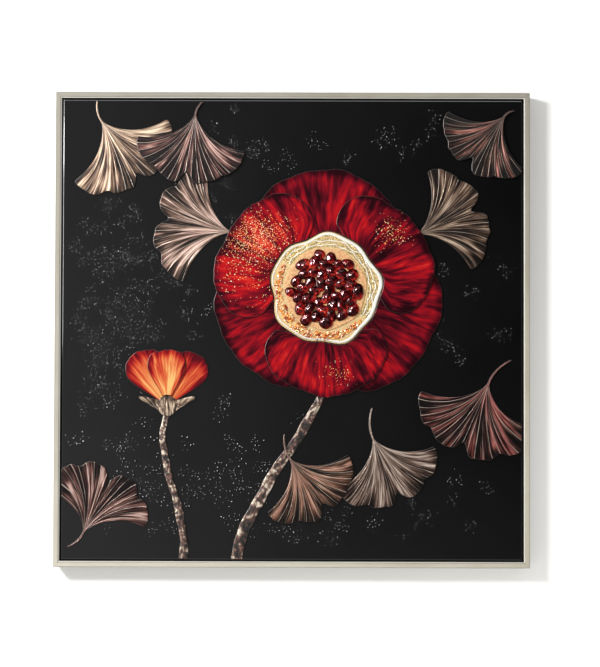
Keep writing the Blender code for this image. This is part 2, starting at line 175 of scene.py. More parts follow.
key = softbox("key_light", (-1.56, -2.05, 0.99), (0.55, 0.38), 80)
key.visible_glossy = False
wall_fill = softbox("wall_fill", (0.80, -0.90, -0.65), (0.5, 0.5), 2.0, target=(0.80, 0, -0.65))
wall_fill.visible_camera = False
wall_fill.light_linking.receiver_collection = gathered("wall_only", [wall])
glossy_pieces = gathered("glossy_pieces", [])
gloss_light(glossy_pieces, "glint_light", key.location, (0.55, 0.75), 80)
gloss_light(glossy_pieces, "shine_panel", (-2.6, -1.2, 0.55), (1.0, 1.7), 170)
gloss_light(glossy_pieces, "ceiling_strip", (0.1, -3.0, 1.85), (3.2, 1.1), 46)
softbox("back_light_left", (-1.9, 2.2, 1.5), (1.0, 1.0), 34)
softbox("back_light_right", (1.6, 2.4, 0.4), (0.8, 0.8), 18)

AMBIENT = 0.76
GLOSS_ROOM = 0.74
GLOSS_SLOPE = (-0.40, -1.20)
SLOPE_END = (1.0, 0.45)
DARK_PLACE = (0.16, 0.10)
DARK_SPREAD = (0.32, 0.36)
DARK_POWER = (2, 4)
DARK_DEPTH = 0.96
FAR_RIGHT = (0.30, 0.80)
FAR_DOWN = (-0.42, -0.90)
FAR_LEVEL = 0.08
SEEN_LEVEL = 0.92


def math_node(tree, operation, first, second=0.0):
    """The result of one math operation on values or sockets."""
    return add(tree, "ShaderNodeMath", {0: first, 1: second}, operation=operation).outputs[0]


def times(tree, first, second):
    """One value or socket times another."""
    return math_node(tree, "MULTIPLY", first, second)


def plus(tree, first, second):
    """One value or socket plus another."""
    return math_node(tree, "ADD", first, second)


def minus(tree, first, second):
    """One value or socket less another."""
    return math_node(tree, "SUBTRACT", first, second)


def remap(tree, value, low=0.0, high=1.0, to_low=0.0, to_high=1.0):
    """A value moved from one range to another, and held within it."""
    inputs = {0: value, 1: low, 2: high, 3: to_low, 4: to_high}
    return add(tree, "ShaderNodeMapRange", inputs).outputs[0]


def axes(tree, place):
    """The X, Y and Z of a place."""
    return add(tree, "ShaderNodeSeparateXYZ", {0: place}).outputs


world = bpy.data.worlds.new("room")
world.use_nodes = True
bpy.context.scene.world = world
tree = world.node_tree
way = add(tree, "ShaderNodeTexCoord").outputs["Generated"]
parts = axes(tree, way)
slope = GLOSS_ROOM
squares = 0.0
sides = zip("XZ", GLOSS_SLOPE, SLOPE_END, DARK_PLACE, DARK_SPREAD, DARK_POWER)
for axis, lean, end, place, spread, power in sides:
    held = math_node(tree, "MAXIMUM", math_node(tree, "MINIMUM", parts[axis], end), -end)
    slope = plus(tree, slope, times(tree, held, lean))
    away = math_node(tree, "ABSOLUTE", minus(tree, parts[axis], place))
    ratio = math_node(tree, "DIVIDE", away, spread)
    squares = plus(tree, squares, math_node(tree, "POWER", ratio, power))
dark = math_node(tree, "POWER", math.e, times(tree, squares, -1.0))
dark = times(tree, dark, math_node(tree, "LESS_THAN", parts["Y"], 0.0))
gloss = times(tree, slope, minus(tree, 1.0, times(tree, dark, DARK_DEPTH)))
for axis, (start, end) in (("X", FAR_RIGHT), ("Z", FAR_DOWN)):
    gloss = times(tree, gloss, remap(tree, parts[axis], start, end, 1.0, FAR_LEVEL))
path = add(tree, "ShaderNodeLightPath").outputs
level = add(tree, "ShaderNodeMix", {0: path["Is Glossy Ray"], 2: AMBIENT, 3: gloss}).outputs[0]
level = add(tree, "ShaderNodeMix", {0: path["Is Camera Ray"], 2: level, 3: SEEN_LEVEL}).outputs[0]
background = tree.nodes["Background"]
background.inputs["Color"].default_value = (1.0, 0.995, 0.985, 1)
tree.links.new(level, background.inputs["Strength"])


# Frame
# Four mitred wooden rails in champagne-silver metal leaf that was laid in squares, burnished
# along each rail, a painted highlight on the inner lip, darker on the outer arris; black rebate.

def ramp(tree, factor, stops):
    """A colour ramp over a factor, from (position, colour) stops."""
    made = add(tree, "ShaderNodeValToRGB", {0: factor})
    band = made.color_ramp
    while len(band.elements) < len(stops):
        band.elements.new(0.5)
    for element, (position, colour) in zip(band.elements, stops):
        element.position = position
        element.color = (*colour, 1)
    return made.outputs["Color"]


def object_place(tree):
    """The place on the object, in metres."""
    return add(tree, "ShaderNodeTexCoord").outputs["Object"]


def noise(tree, place, scale, detail, distortion=0.0):
    """Noise over a place."""
    inputs = {"Vector": place, "Scale": scale, "Detail": detail, "Distortion": distortion}
    return add(tree, "ShaderNodeTexNoise", inputs).outputs[0]


def over(tree, mask, below, above, **settings):
    """One colour laid over another where a mask says so."""
    inputs = {0: mask, 6: below, 7: above}
    return add(tree, "ShaderNodeMix", inputs, data_type="RGBA", **settings).outputs[2]


def feed(tree, shader, **sockets):
    """Send sockets to the shader's inputs."""
    for key, socket in sockets.items():
        tree.links.new(socket, shader.inputs[key.replace("_", " ").title()])


def emboss(tree, shader, height, strength, distance):
    """Send a height to the shader as a bump."""
    inputs = {"Strength": strength, "Distance": distance, "Height": height}
    feed(tree, shader, normal=add(tree, "ShaderNodeBump", inputs).outputs[0])


def dress(surface, *names):
    """Give CAD nodes a material."""
    for name in names:
        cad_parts[name].data.materials[0] = surface


FRAME_HALF = 0.5
LIP_EDGE = FRAME_HALF - 12 * MM + 1.2 * MM
LIP_BACK = -39.5 * MM
LEDGE_FRONT = -1 * MM
ARRIS = (FRAME_HALF - 2.2 * MM, FRAME_HALF - 1.2 * MM)
LEAF_SQUARE = 80 * MM
SILVER_TONES = [
    (0.30, (0.475, 0.438, 0.356)), (0.52, (0.54, 0.507, 0.424)), (0.75, (0.60, 0.574, 0.497)),
]
# Darker tone for the outer arris.
DARK_ARRIS = (0.36, 0.33, 0.27, 1)
# Painted highlight for the inner lip, in place of light on its inner wall.
PAINTED_LIP_HIGHLIGHT = (0.68, 0.66, 0.60, 1)
REBATE_BLACK = (0.01, 0.01, 0.01, 1)


def champagne_leaf(name, stretch, leaf_axis, cross_axis):
    """Metal leaf brushed along one axis, with a faint lap every 80 mm along it. The inner lip is
    where the distance across is least and carries a painted highlight; the arris is where it is
    most, and is darker there; the rebate is black."""
    made, tree, shader = material(name, specular_ior_level=0.4)
    place = object_place(tree)
    split = axes(tree, place)
    reach = math_node(tree, "ABSOLUTE", split[cross_axis])
    inner = math_node(tree, "LESS_THAN", reach, LIP_EDGE)
    # Darker towards the outer arris.
    arris_darkening = remap(tree, reach, *ARRIS, 0.0, 0.36)
    deep = math_node(tree, "GREATER_THAN", split["Y"], LIP_BACK)
    before_ledge = math_node(tree, "LESS_THAN", split["Y"], LEDGE_FRONT)
    rebate = times(tree, inner, times(tree, deep, before_ledge))
    # Painted highlight: the front of the inner lip is paler and less metallic.
    lip = times(tree, inner, minus(tree, 1.0, deep))
    long_way = add(tree, "ShaderNodeMapping", {"Vector": place, "Scale": stretch}).outputs[0]
    brushed = noise(tree, long_way, 1.0, 5.0)
    cloudy = noise(tree, place, 14.0, 3.0)
    laid = math_node(tree, "FRACT", math_node(tree, "DIVIDE", split[leaf_axis], LEAF_SQUARE))
    lap = math_node(tree, "LESS_THAN", laid, 0.035)
    tone = plus(tree, times(tree, brushed, 0.65), times(tree, cloudy, 0.45))
    tone = minus(tree, tone, times(tree, lap, 0.035))
    colour = ramp(tree, tone, SILVER_TONES)
    colour = over(tree, arris_darkening, colour, DARK_ARRIS)
    colour = over(tree, lip, colour, PAINTED_LIP_HIGHLIGHT)
    colour = over(tree, rebate, colour, REBATE_BLACK)
    metal = minus(tree, 0.70, times(tree, math_node(tree, "MAXIMUM", lip, rebate), 0.62))
    rough = remap(tree, brushed, 0, 1, 0.36, 0.50)
    feed(tree, shader, base_color=colour, metallic=metal, roughness=rough)
    emboss(tree, shader, tone, 0.25, 0.0004)
    return made


leaf = champagne_leaf("champagne_leaf_across", (6, 420, 420), "X", "Z")
dress(leaf, "frame_rail_top", "frame_rail_bottom")
leaf = champagne_leaf("champagne_leaf_upright", (420, 420, 6), "Z", "X")
dress(leaf, "frame_rail_left", "frame_rail_right")
nodes = [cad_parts["frame_rail_" + side] for side in ("top", "bottom", "left", "right")]
rails = gathered("rails", nodes)
gloss_light(rails, "low_panel", (-0.7, -2.4, -1.1), (2.4, 0.8), 11)
side_panel = gloss_light(rails, "side_panel", (0.85, -2.4, -0.35), (0.5, 0.9), 3.0)
side_panel.data.color = (1.0, 0.90, 0.72)


# Front panel
# A fibreboard sheet in gloss black lacquer. Its front edge is a soft polished round, wider
# than it is deep, and its back is left raw.

def finish_mesh(name, points, faces, surface, uv=None, sharp=40):
    """Turn points and faces into a smooth object with outward normals and an optional UV map."""
    mesh = bpy.data.meshes.new(name)
    mesh.from_pydata(points, [], faces)
    if uv is not None:
        corner = np.empty(len(mesh.loops), dtype=np.int32)
        mesh.loops.foreach_get("vertex_index", corner)
        layer = mesh.uv_layers.new(name="UVMap")
        layer.data.foreach_set("uv", uv[corner].astype(np.float32).ravel())
    bm = bmesh.new()
    bm.from_mesh(mesh)
    bmesh.ops.recalc_face_normals(bm, faces=bm.faces)
    bm.to_mesh(mesh)
    bm.free()
    mesh.shade_smooth()
    mesh.set_sharp_from_angle(angle=math.radians(sharp))
    mesh.materials.append(surface)
    made = bpy.data.objects.new(name, mesh)
    bpy.context.collection.objects.link(made)
    return made


def tube_faces(rows, columns):
    """Quads of a grid whose columns wrap round, and a cap at each end."""
    at = np.arange(rows * columns).reshape(rows, columns)
    on = np.roll(at, -1, axis=1)
    quads = np.stack([at[:-1], on[:-1], on[1:], at[1:]], axis=-1)
    return quads.reshape(-1, 4).tolist() + [at[0].tolist(), at[-1].tolist()]


def closed_tube(name, places, y, surface, sharp=40):
    """A solid with a skin of (x, z) places at their y, in rows that wrap round."""
    rows, columns = places.shape[:2]
    points = np.dstack([places[..., 0], np.broadcast_to(y, (rows, columns)), places[..., 1]])
    return finish_mesh(name, points.reshape(-1, 3), tube_faces(rows, columns), surface, sharp=sharp)


def hold(piece, slot, *nodes):
    """Let a piece ride on the picture and stand for the CAD nodes given; the slot is not used."""
    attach(piece, "root")
    glossy_pieces.objects.link(piece)
    if nodes:
        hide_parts(*nodes)


panel_low, panel_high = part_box("front_panel")
PANEL_HALF = panel_high.x
PANEL_FRONT = panel_low.y
PANEL_BACK = panel_high.y
PANEL_EDGE = (3.4 * MM, 1.0 * MM)
RAW_SKIN = 0.5 * MM

lacquer, tree, shader = material("black_lacquer")
place = object_place(tree)
depth = axes(tree, place)["Y"]
raw = math_node(tree, "GREATER_THAN", depth, PANEL_BACK - RAW_SKIN)
fibres = noise(tree, place, 900.0, 4.0)
board = ramp(tree, fibres, [(0.3, (0.22, 0.135, 0.075)), (0.7, (0.36, 0.235, 0.14))])
haze = noise(tree, place, 5.0, 2.0)
black = ramp(tree, haze, [(0.3, (0.0022, 0.0022, 0.0024)), (0.7, (0.0036, 0.0036, 0.0039))])
rough = plus(tree, times(tree, raw, 0.7), 0.07)
feed(tree, shader, base_color=over(tree, raw, black, board), roughness=rough)
emboss(tree, shader, noise(tree, place, 60.0, 1.0), 0.06, 0.0006)


def board_rings(half, back, front, edge):
    """Square rings of a board and their y: straight sides, a quarter ellipse of the edge's width
    and depth, then in to the middle of the front. Each ring has ten points a side."""
    turn = np.linspace(0, np.pi / 2, 15)
    wide, deep = edge
    flat = (half - wide) * np.linspace(0.96, 0.15, 6)
    y = np.r_[back, front + deep * (1 - np.sin(turn)), np.full(7, front)]
    reach = np.r_[half, half - wide * (1 - np.cos(turn)), half - wide - 0.2 * MM, flat]
    step = np.r_[-1, np.linspace(-0.997, 0.997, 9)]
    one = np.ones_like(step)
    ring = np.r_[np.c_[step, -one], np.c_[one, step], np.c_[-step, one], np.c_[-one, -step]]
    return reach[:, None, None] * ring[None], y[:, None]


rings = board_rings(PANEL_HALF, PANEL_BACK, PANEL_FRONT, PANEL_EDGE)
panel = closed_tube("lacquered_board", *rings, lacquer)
hold(panel, "black_lacquer", "front_panel")
gloss_light(gathered("board", [panel]), "edge_strip", (-1.9, -2.6, 0.50), (0.4, 1.0), 41)


# Battens and brace
# Planed pine behind the board. The battens take the screws from the frame's ledge, and the
# deep brace keeps the board flat.

def pine(name, stretch):
    """Pine with growth bands drawn out along the stick and a few darker late-wood lines."""
    made, tree, shader = material(name, roughness=0.62)
    place = object_place(tree)
    drawn = add(tree, "ShaderNodeMapping", {"Vector": place, "Scale": stretch}).outputs[0]
    bands = noise(tree, drawn, 1.0, 6.0, 0.6)
    lines = math_node(tree, "FRACT", times(tree, bands, 7.0))
    stops = [(0.0, (0.60, 0.41, 0.22)), (0.75, (0.66, 0.47, 0.27)), (1.0, (0.42, 0.25, 0.11))]
    feed(tree, shader, base_color=ramp(tree, lines, stops))
    emboss(tree, shader, lines, 0.3, 0.0004)
    return made


dress(pine("pine_across", (1.6, 55, 55)), "batten_top", "batten_bottom")
dress(pine("pine_upright", (55, 55, 1.6)), "batten_left", "batten_right", "centre_brace")


# Screws, sawtooth hangers and bumper pads
# Zinc-plated screws and hangers, and soft dark pads at the lower corners that keep the
# picture's foot off the wall.

def grained(name, scale, detail, stops, bump=None, **plain):
    """A material whose colour, and bump if it has one, follow one fine noise."""
    made, tree, shader = material(name, **plain)
    grain = noise(tree, object_place(tree), scale, detail)
    feed(tree, shader, base_color=ramp(tree, grain, stops))
    if bump:
        emboss(tree, shader, grain, *bump)
    return made


steel, tree, shader = material("zinc_steel", metallic=1.0)
place = object_place(tree)
spangle = add(tree, "ShaderNodeTexVoronoi", {"Vector": place, "Scale": 420.0}).outputs["Distance"]
colour = ramp(tree, spangle, [(0.0, (0.55, 0.56, 0.56)), (1.0, (0.72, 0.72, 0.70))])
rough = remap(tree, noise(tree, place, 900.0, 3.0), 0, 1, 0.26, 0.46)
feed(tree, shader, base_color=colour, roughness=rough)
dress(steel, *(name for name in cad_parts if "screw" in name or name.startswith("hanger")))

stops = [(0.3, (0.035, 0.035, 0.037)), (0.7, (0.085, 0.085, 0.085))]
pad = grained("bumper_pad", 2600.0, 2.0, stops, (0.5, 0.0004), roughness=0.95, sheen_weight=0.3)
dress(pad, "bumper_left", "bumper_right")


# Leaves
# Fan leaves cut from thin sheet on a backing, ground with a brush along the veins and tinted
# bronze, taupe and rose. Fine pale veins fork towards the rim, and the edges are softened.

LOWER_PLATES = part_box("leaf_1")[1].y
UPPER_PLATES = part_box("leaf_2")[1].y
PLATE_THICKNESS = LOWER_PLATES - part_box("leaf_1")[0].y
EDGE_ROUND = 1.3 * MM
STALK_WIDTH = 5 * MM
RIM_GAP = 1.5 * MM
SWELL_WIDTH = 9 * MM
outlines = {}


def mark_points(piece, name, values):
    """Keep one value for each point of a piece, for its material to read."""
    mark = piece.data.attributes.new(name, "FLOAT", "POINT")
    mark.data.foreach_set("value", values.astype(np.float32))


def marked(tree, name):
    """The value kept on the points."""
    return add(tree, "ShaderNodeAttribute", attribute_name=name).outputs["Fac"]


def around(centre, angle, radius):
    """Places at angles and radii about a centre, as an array with x and z last."""
    x, z = centre[0] + radius * np.cos(angle), centre[1] + radius * np.sin(angle)
    return np.stack([x, z], axis=-1)


def distance_to(points, outline):
    """Distance from each point to a closed outline: the nearest foot on any of its edges."""
    step = np.roll(outline, -1, axis=0) - outline
    length = np.maximum((step ** 2).sum(1), 1e-14)
    near = np.full(len(points), np.inf)
    for block in np.array_split(np.arange(len(outline)), 6):
        offset = points[:, None, :] - outline[None, block]
        share = np.clip((offset * step[block]).sum(2) / length[block], 0, 1)
        gap = offset - share[..., None] * step[block]
        near = np.minimum(near, (gap ** 2).sum(2).min(1))
    return np.sqrt(near)


def cut_plate(name, grid, back, surface, swell=0.0):
    """A closed plate over a grid of (x, z) places with its u and v. Its rim is the grid's border:
    the front rounds over there as a quarter circle, a wall runs straight back, and one flat face
    closes it. A swell lowers the front towards the rim. The cut_edge mark is 1 on the edge."""
    flat, u, v = grid
    rows, columns = flat.shape[:2]
    at = np.arange(rows * columns).reshape(rows, columns)
    rim = np.r_[at[0], at[1:, -1], at[-1, -2::-1], at[-2:0:-1, 0]]
    places = flat.reshape(-1, 2)
    outline = places[rim]
    outlines[name] = outline
    depth_in = distance_to(places, outline)
    fall = np.clip(EDGE_ROUND - depth_in, 0, EDGE_ROUND)
    y = back - PLATE_THICKNESS + EDGE_ROUND - np.sqrt(EDGE_ROUND ** 2 - fall ** 2)
    y += swell * np.clip(1 - depth_in / SWELL_WIDTH, 0, 1) ** 2
    points = np.c_[places[:, 0], y, places[:, 1]]
    wall_back = np.c_[outline[:, 0], np.full(len(rim), back), outline[:, 1]]
    first = rows * columns
    loop = first + np.arange(len(rim))
    quads = np.stack([at[:-1, :-1], at[:-1, 1:], at[1:, 1:], at[1:, :-1]], axis=-1).reshape(-1, 4)
    sides = np.stack([rim, np.roll(rim, -1), np.roll(loop, -1), loop], axis=-1)
    faces = np.vstack([quads, sides]).tolist() + [loop.tolist()]
    u, v = np.meshgrid(u, v)
    uv = np.c_[u.ravel(), v.ravel()]
    points, uv = np.vstack([points, wall_back]), np.vstack([uv, uv[rim]])
    made = finish_mesh(name, points, faces, surface, uv)
    cut = np.r_[np.clip(1.5 - 1.6 * depth_in / EDGE_ROUND, 0, 1), np.ones(len(rim))]
    mark_points(made, "cut_edge", cut)
    return made


def eased(count):
    """Steps from 0 to 1 that crowd towards both ends, as half a cosine wave does."""
    return (1 - np.cos(np.linspace(0, np.pi, count))) / 2


def leaf_grid(base, direction, reach, spread, stalk, phase, columns=89, rows=78):
    """A fan leaf from its stalk's end to its rim, with u across and v up. Rows go along a curved
    stalk, then out from its foot to a rim with one cleft and fine waves."""
    heading, half = math.radians(direction), math.radians(spread)
    outward = np.array([math.cos(heading), math.sin(heading)])
    across = np.array([-outward[1], outward[0]])
    v = 2 * eased(columns) - 1
    s = np.linspace(1, 0, 12)[:-1, None]
    spine = np.array(base) - outward * stalk * s + across * 0.42 * stalk * s * s
    stem = spine[:, None, :] + across * (STALK_WIDTH / 2) * v[None, :, None]
    rim = 0.86 + 0.14 * np.sqrt(1 - np.abs(v) ** 3)
    rim *= 1 - 0.17 * np.exp(-(v / 0.085) ** 2) - 0.05 * np.exp(-((np.abs(v) - 0.5) / 0.08) ** 2)
    rim += (1 - v ** 4) * (0.012 * np.sin(9 * v + phase) + 0.010 * np.sin(19 * v + 2 * phase))
    rim += (1 - v ** 4) * 0.004 * np.sin(53 * v + 3 * phase)
    limit = PANEL_HALF - RIM_GAP
    way = around((0, 0), heading + half * v, 1.0)
    room = (limit * np.sign(way) - np.array(base)) / np.where(np.abs(way) < 1e-6, 1e-6, way)
    rim = np.minimum(rim * reach, room.min(axis=1))
    t = eased(rows - 11)[:, None]
    turn = half * v * (0.30 + 0.70 * t ** 0.8) * (1 - np.exp(-14 * t))
    blade = around(base, heading + turn, t * rim)
    blade += across * (STALK_WIDTH / 2) * (v * (1 - t) ** 3)[..., None]
    return np.vstack([stem, blade]), (v + 1) / 2, np.r_[-0.25 * s[:, 0], t[:, 0]]


strokes = bpy.data.node_groups.new("brush_strokes", "ShaderNodeTree")
strokes.interface.new_socket("Vector", in_out="INPUT", socket_type="NodeSocketVector")
for way, names in (("INPUT", ("Across", "Along", "Seed")), ("OUTPUT", ("Streak", "Blotch"))):
    for name in names:
        strokes.interface.new_socket(name, in_out=way, socket_type="NodeSocketFloat")
given = strokes.nodes.new("NodeGroupInput").outputs
result = strokes.nodes.new("NodeGroupOutput").inputs
split = axes(strokes, given["Vector"])
for output, coarse, detail in (("Streak", 1.0, 4.0), ("Blotch", 0.22, 2.0)):
    wide = times(strokes, times(strokes, split["X"], given["Across"]), coarse)
    tall = times(strokes, times(strokes, split["Y"], given["Along"]), coarse ** 0.4)
    spot = add(strokes, "ShaderNodeCombineXYZ", {0: wide, 1: tall, 2: given["Seed"]}).outputs[0]
    strokes.links.new(noise(strokes, spot, 1.0, detail, 0.35), result[output])


def stroke_nodes(tree, across, along, seed):
    """The brush stroke group over the piece's UV map; gives its streak, blotch, u and v."""
    uv = add(tree, "ShaderNodeUVMap").outputs[0]
    inputs = {"Vector": uv, "Across": across, "Along": along, "Seed": seed}
    made = add(tree, "ShaderNodeGroup", inputs, node_tree=strokes).outputs
    split = axes(tree, uv)
    return made["Streak"], made["Blotch"], split["X"], split["Y"]


CUT_METAL = (0.060, 0.053, 0.050, 1)


def bare_edge(tree, shader, colour, metallic=0.0, rough=0.30):
    """Send a colour to the shader, but let the cut edge of the plate show dark brushed metal."""
    cut = marked(tree, "cut_edge")
    colour = over(tree, cut, colour, CUT_METAL)
    metal = remap(tree, cut, 0, 1, metallic, 0.95)
    dull = remap(tree, cut, 0, 1, rough, 0.30)
    feed(tree, shader, base_color=colour, metallic=metal, roughness=dull)


def contrast(tree, streak, blotch, fine, coarse, lift):
    """The tone of a brushed surface: half, plus each noise's swing about its middle."""
    tone = times(tree, minus(tree, streak, 0.5), fine)
    tone = plus(tree, tone, times(tree, minus(tree, blotch, 0.5), coarse))
    return plus(tree, tone, 0.5 + lift)


def vein_mask(tree, u, v, count, thin, wander):
    """Lines that run up the leaf at even steps across it, of one width all the way up."""
    bent = plus(tree, u, times(tree, wander, 0.035))
    lane = math_node(tree, "FRACT", times(tree, bent, count))
    away = math_node(tree, "ABSOLUTE", minus(tree, lane, 0.5))
    width = math_node(tree, "DIVIDE", thin * count, math_node(tree, "MAXIMUM", v, 0.12))
    line = minus(tree, 1.0, math_node(tree, "DIVIDE", away, width))
    return math_node(tree, "MAXIMUM", line, 0.0)


LEAF_TONES = {
    "taupe_foil": (
        (0.006, 0.0046, 0.0040), (0.050, 0.029, 0.022), (0.19, 0.120, 0.090), (0.62, 0.50, 0.42),
    ),
    "bronze_foil": (
        (0.006, 0.0040, 0.0030), (0.048, 0.026, 0.017), (0.165, 0.100, 0.064), (0.55, 0.43, 0.31),
    ),
    "rose_foil": (
        (0.006, 0.0032, 0.0031), (0.052, 0.021, 0.018), (0.180, 0.086, 0.072), (0.55, 0.37, 0.32),
    ),
}
PALE_VEIN = (0.60, 0.49, 0.41, 1)
BLUSH = (1.0, 0.36, 0.36, 1)
VEIN_COUNT = 9.0


def ground_metal(name, slot, seed, shine, blush=0.0):
    """Tinted metal ground along the veins, from near black to pale, with pale forked veins. A
    share of it may be blushed with a thin crimson lacquer."""
    made, tree, shader = material(name)
    streak, blotch, u, v = stroke_nodes(tree, 66.0, 2.6, seed)
    tone = contrast(tree, streak, blotch, 1.6, 1.9, shine - 0.5)
    rim = times(tree, math_node(tree, "POWER", math_node(tree, "MAXIMUM", v, 0.0), 9.0), 0.22)
    tone = minus(tree, tone, rim)
    colour = ramp(tree, tone, list(zip((0.18, 0.42, 0.62, 0.90), LEAF_TONES[slot])))
    tinted = remap(tree, blotch, 0.46, 0.60, 0.0, blush)
    colour = over(tree, tinted, colour, BLUSH, blend_type="MULTIPLY")
    main = vein_mask(tree, u, v, VEIN_COUNT, 0.0019, blotch)
    forks = vein_mask(tree, plus(tree, u, 0.5 / VEIN_COUNT), v, VEIN_COUNT, 0.0015, blotch)
    upper = remap(tree, v, 0.42, 0.60)
    veins = math_node(tree, "MAXIMUM", main, times(tree, forks, upper))
    veins = times(tree, veins, remap(tree, streak, 0.28, 0.46))
    colour = over(tree, veins, colour, PALE_VEIN)
    bare_edge(tree, shader, colour, 0.68, remap(tree, streak, 0, 1, 0.20, 0.42))
    height = plus(tree, streak, times(tree, veins, 0.5))
    emboss(tree, shader, height, 0.55, 0.0007)
    return made


LEAF_SLOTS = ("taupe_foil", "bronze_foil", "rose_foil")
LEAVES = (
    (-405, 440, -56, 160, 57, 40, LOWER_PLATES, 0.54, 0.0),
    (-205, 455, -98, 150, 60, 26, UPPER_PLATES, 0.29, 0.0),
    (-128, 204, 168, 165, 58, 26, LOWER_PLATES, 0.57, 0.2),
    (262, 200, 24, 155, 56, 26, LOWER_PLATES, 0.44, 0.0),
    (415, -110, -112, 165, 60, 60, LOWER_PLATES, 0.46, 0.8),
    (170, -228, -66, 150, 58, 58, LOWER_PLATES, 0.60, 0.0),
    (-4, -272, -54, 140, 58, 48, UPPER_PLATES, 0.50, 0.5),
    (-438, -430, 64, 150, 58, 40, LOWER_PLATES, 0.42, 0.0),
    (448, 452, -128, 138, 56, 20, UPPER_PLATES, 0.29, 0.7),
)
for number, (x, z, direction, reach, spread, stalk, level, shine, blush) in enumerate(LEAVES, 1):
    slot = LEAF_SLOTS[number % 3]
    base = (x * MM, z * MM)
    grid = leaf_grid(base, direction, reach * MM, spread, stalk * MM, 1.3 * number)
    surface = ground_metal("ground_metal_%d" % number, slot, 3.7 * number, shine, blush)
    hold(cut_plate("fan_leaf_%d" % number, grid, level, surface), slot, "leaf_%d" % number)


# Stems
# Two bark-like strips that run down to the panel's lower edge, with short dark and pale
# strokes across them and an uneven, slightly domed surface.

def cubic(start, pull, push, end, t):
    """Places on a cubic curve: each of its four points weighed by its share at each step."""
    ahead = start * (1 - t) ** 3 + 3 * pull * (1 - t) ** 2 * t
    return ahead + 3 * push * (1 - t) * t * t + end * t ** 3


def stem_grid(course, width_above, width_below, phase, columns=25, rows=240):
    """A strip along a cubic curve, widening downwards, with uneven sides; cut at the foot."""
    start, pull, push, end = (np.array(point) for point in course)
    t = np.linspace(0, 1, 600)[:, None]
    foot = -(PANEL_HALF - RIM_GAP)
    stop = np.interp(-foot, -cubic(start, pull, push, end, t)[:, 1], t[:, 0])
    t = np.linspace(0, stop, rows)[:, None]
    line = cubic(start, pull, push, end, t)
    along = (pull - start) * (1 - t) ** 2 + (push - pull) * 2 * (1 - t) * t + (end - push) * t * t
    across = np.c_[-along[:, 1], along[:, 0]] / np.linalg.norm(along, axis=1)[:, None]
    half = (width_above + (width_below - width_above) * t) / 2
    left = half * (1 + 0.13 * np.sin(19 * t + phase) + 0.05 * np.sin(71 * t + phase))
    right = half * (1 + 0.13 * np.sin(23 * t + 2 * phase) + 0.05 * np.sin(63 * t))
    v = (2 * eased(columns) - 1)[None, :]
    offset = np.where(v > 0, v * left, v * right)
    grid = line[:, None, :] + across[:, None, :] * offset[..., None]
    grid[..., 1] = np.maximum(grid[..., 1], foot)
    grid[-1, :, 1] = foot
    return grid, (v[0] + 1) / 2, t[:, 0]


def bark(name, seed):
    """Mottled bark: short strokes across the stem in near black, brown, rose and cream, with
    painted shade that darkens it across towards its right side.
    """
    made, tree, shader = material(name)
    streak, blotch, u, v = stroke_nodes(tree, 2.6, 36.0, seed)
    tone = contrast(tree, streak, blotch, 2.0, 1.2, 0.06)
    # Painted shade: darker across the stem towards its right side, lighter on the lit left.
    tone = minus(tree, tone, times(tree, u, 0.16))
    stops = [
        (0.22, (0.006, 0.005, 0.0045)), (0.42, (0.045, 0.027, 0.019)), (0.52, (0.11, 0.034, 0.030)),
        (0.62, (0.17, 0.125, 0.085)), (0.84, (0.56, 0.48, 0.39)),
    ]
    bare_edge(tree, shader, ramp(tree, tone, stops), 0.25, 0.42)
    emboss(tree, shader, tone, 0.8, 0.0012)
    return made


BLOOM = (70 * MM, 85 * MM)
BUD = (-262 * MM, -165 * MM)
STEM_SWELL = 0.9 * MM
BELOW_PANEL = -PANEL_HALF - 5 * MM
bloom_course = (
    (BLOOM[0] + 2 * MM, BLOOM[1] - 180 * MM),
    (BLOOM[0] - 4 * MM, BLOOM[1] - 280 * MM),
    (-90 * MM, -330 * MM),
    (-118 * MM, BELOW_PANEL),
)
bud_course = (
    (BUD[0], BUD[1] - 10 * MM),
    (BUD[0] - 36 * MM, BUD[1] - 110 * MM),
    (-212 * MM, -375 * MM),
    (-228 * MM, BELOW_PANEL),
)
stems = (("bloom", bloom_course, 17, 26, 0.5, 2.0), ("bud", bud_course, 13, 19, 2.0, 9.0))
for name, course, above, below, phase, seed in stems:
    grid = stem_grid(course, above * MM, below * MM, phase)
    surface = bark("bark_" + name, seed)
    stem = cut_plate("bark_stem_" + name, grid, LOWER_PLATES, surface, swell=STEM_SWELL)
    hold(stem, "bark_foil", name + "_stem")


# Bloom petals
# Three dark petals below and three brighter ones above, each cut out, painted in red strokes
# that run from the heart to the rim, and cleared with gloss. Their edges are almost black.

def waved(base, *waves):
    """A measure that goes with the angle about the bloom: a base and, added to it, sine waves
    given by their height, how many go round and where they start. All are in mm."""
    def measure(angle):
        total = base * MM
        for height, number, start in waves:
            total = total + height * MM * np.sin(number * angle + start)
        return total
    return measure


def petal_grid(centre, direction, spread, reach, foot, ruffle, phase, columns=121, rows=91):
    """A petal in polar places about a centre. Columns go across from -1 to 1, rows from the foot
    to the rim, which is a superellipse with ruffles. The sides open by a quarter sine."""
    heading, half = math.radians(direction), math.radians(spread)
    v = 2 * eased(columns)[None, :] - 1
    t = eased(rows)[:, None]
    rim = reach * (0.62 + 0.38 * np.sqrt(np.maximum(0, 1 - np.abs(v) ** 2.6)))
    wave = np.sin(5 * v + phase) + 0.5 * np.sin(11 * v + 2 * phase)
    wave = wave + 0.4 * np.sin(21 * v + 3 * phase) + 0.16 * np.sin(57 * v + phase)
    rim = rim + ruffle * (1 - v ** 4) * wave
    start = foot(heading + 0.80 * half * v)
    radius = start + t * (rim - start)
    opened = np.clip((radius - start) / (0.62 * reach - start), 0, 1)
    angle = heading + half * v * (0.80 + 0.20 * np.sin(opened * np.pi / 2))
    return around(centre, angle, radius), (v[0] + 1) / 2, t[:, 0]


